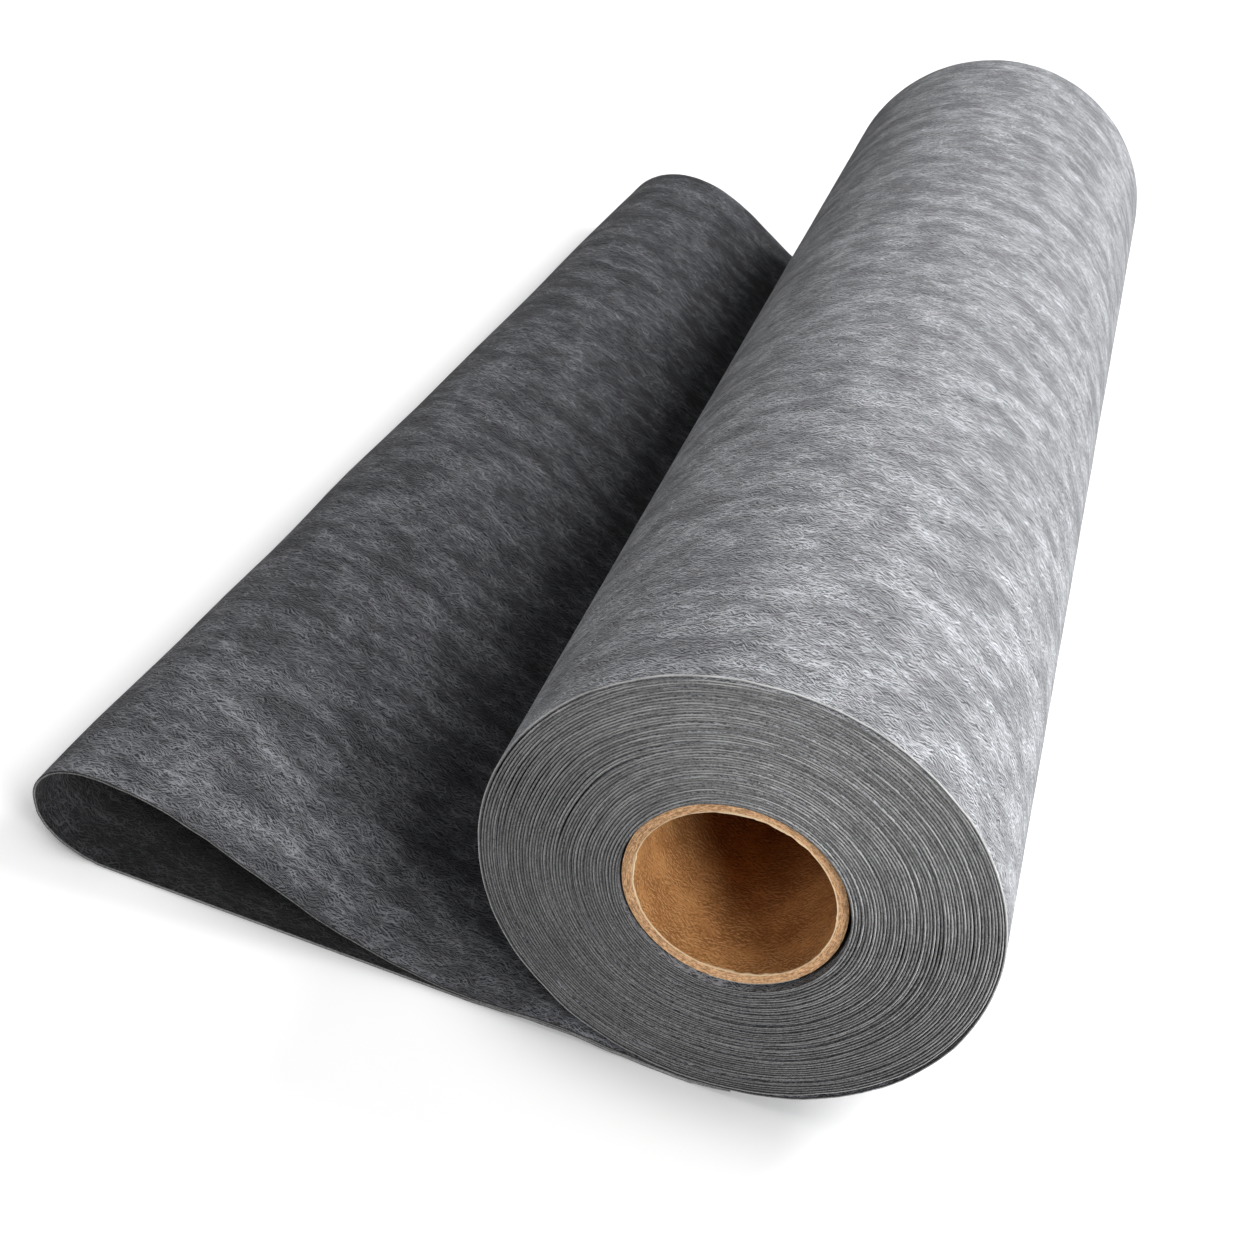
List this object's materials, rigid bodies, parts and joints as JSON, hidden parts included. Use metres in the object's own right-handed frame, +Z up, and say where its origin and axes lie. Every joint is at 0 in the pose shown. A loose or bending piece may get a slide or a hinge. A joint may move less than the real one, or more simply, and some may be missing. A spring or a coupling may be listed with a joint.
{
  "type": "roll of waterproof membrane",
  "caption": "Roll of fleece-faced waterproof membrane on a paper core, lying on its side with the loose end folded back and held under the roll.",
  "frame": {"origin": "on the floor, under the middle of the roll's axis, on the underside of the free end that the roll presses flat", "axes": "+Y along the roll's axis, the longest way of the object, towards the end where the fold stands higher; +Z up; the loose end runs out towards -X"},
  "size_m": [0.5225, 1, 0.273],
  "materials": {
    "fleece_sheet": "matte",
    "fleece_turns": "matte",
    "core_paper": "matte",
    "tape": "satin"
  },
  "bodies": {
    "loose_end": {"membrane_loose_end": "fleece_sheet"},
    "roll": {"membrane_winding": "fleece_turns", "core_tube": "core_paper", "start_tape": "tape"}
  },
  "joints": [
    {"name": "roll_turn", "type": "hinge", "parent": "loose_end", "child": "roll", "pos_m": [0, 0, 0.138], "axis": [0, 1, 0], "continuous": true}
  ]
}
